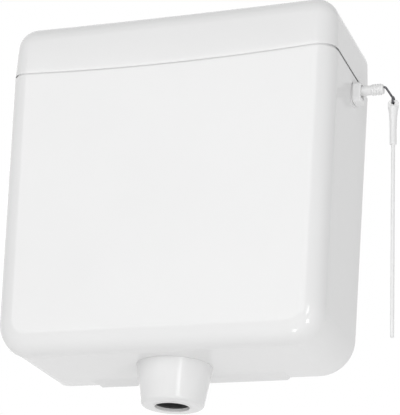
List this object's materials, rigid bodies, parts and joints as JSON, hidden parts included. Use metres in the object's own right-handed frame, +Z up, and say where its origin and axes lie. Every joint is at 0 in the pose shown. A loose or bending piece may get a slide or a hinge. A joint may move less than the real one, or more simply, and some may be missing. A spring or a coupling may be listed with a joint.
{
  "type": "toilet cistern",
  "caption": "Wall-hung high-level toilet cistern: rounded plastic tank with lift-off cover, side lever with a pull rod, float inlet valve, and a bottom outlet under a tapered nut.",
  "frame": {"origin": "midway between the two hanging holes, on the wall face of the tank's back", "axes": "+Z up, +Y into the wall, +X to the lever's side, so the front faces -Y"},
  "size_m": [0.4115, 0.134, 0.3923],
  "materials": {
    "tank_plastic": "glossy white moulded plastic",
    "cover_plastic": "glossy white moulded plastic",
    "nut_plastic": "satin white moulded plastic",
    "lever_plastic": "satin white moulded plastic",
    "pull_plastic": "glossy white plastic rod and ferrule",
    "inner_plastic": "plain white moulded plastic",
    "bell_plastic": "grey moulded plastic",
    "float_plastic": "pale blown plastic",
    "rubber": "black rubber",
    "hook_wire": "dark drawn steel wire",
    "steel_pin": "bright steel",
    "arm_brass": "drawn brass"
  },
  "bodies": {
    "cistern": {"tank": "tank_plastic", "lever_bush": "lever_plastic", "bush_lock": "inner_plastic", "lever_pin": "steel_pin", "outlet_body": "inner_plastic", "outlet_gasket": "rubber", "outlet_backnut": "inner_plastic", "outlet_nut": "nut_plastic", "pipe_seal": "rubber", "inlet_body": "inner_plastic", "inlet_washer": "rubber", "inlet_backnut": "nut_plastic", "inlet_diaphragm": "rubber", "cap_ring": "bell_plastic", "arm_bracket": "inner_plastic", "arm_pin": "steel_pin", "silencer_tube": "inner_plastic"},
    "cover": {"cover": "cover_plastic"},
    "lever": {"flush_lever": "lever_plastic", "lift_arm": "inner_plastic", "arm_screw": "steel_pin"},
    "hook": {"pull_hook": "hook_wire"},
    "pull": {"pull_ferrule": "pull_plastic", "pull_rod": "pull_plastic"},
    "flush_valve": {"overflow_tube": "inner_plastic", "bell_float": "bell_plastic", "seat_washer": "rubber", "valve_foot": "inner_plastic", "lift_yoke": "inner_plastic"},
    "float": {"float_arm": "arm_brass", "float_near_half": "float_plastic", "float_far_half": "float_plastic", "float_nut": "arm_brass"},
    "plunger": {"plunger": "inner_plastic"}
  },
  "joints": [
    {"name": "cover_lift", "type": "slide", "parent": "cistern", "child": "cover", "axis": [0, 0, 1], "range_m": [0, 0.12]},
    {"name": "lever_rock", "type": "hinge", "parent": "cistern", "child": "lever", "pos_m": [0.15969, -0.054, 0.015], "axis": [0, 1, 0], "range_deg": [0, 9]},
    {"name": "hook_swivel", "type": "hinge", "parent": "lever", "child": "hook", "pos_m": [0.20269, -0.054, 0.0172], "axis": [1, 0, 0], "range_deg": [-60, 11]},
    {"name": "pull_hang", "type": "hinge", "parent": "hook", "child": "pull", "pos_m": [0.21269, -0.054, -0.0018], "axis": [0, 1, 0], "range_deg": [-9, 0]},
    {"name": "flush_lift", "type": "slide", "parent": "cistern", "child": "flush_valve", "axis": [0, 0, 1], "range_m": [0, 0.0251]},
    {"name": "float_swing", "type": "hinge", "parent": "cistern", "child": "float", "pos_m": [-0.11749, -0.034, -0.002], "axis": [0, -1, 0], "range_deg": [0, 32]},
    {"name": "plunger_slide", "type": "slide", "parent": "cistern", "child": "plunger", "axis": [-1, 0, 0], "range_m": [0, 0.00442]}
  ],
  "couplings": [
    {"joint": "pull_hang", "follows": "lever_rock", "ratio": -1},
    {"joint": "flush_lift", "follows": "lever_rock", "m_per_rad": 0.15969},
    {"joint": "plunger_slide", "follows": "float_swing", "m_per_rad": 0.0078964}
  ]
}
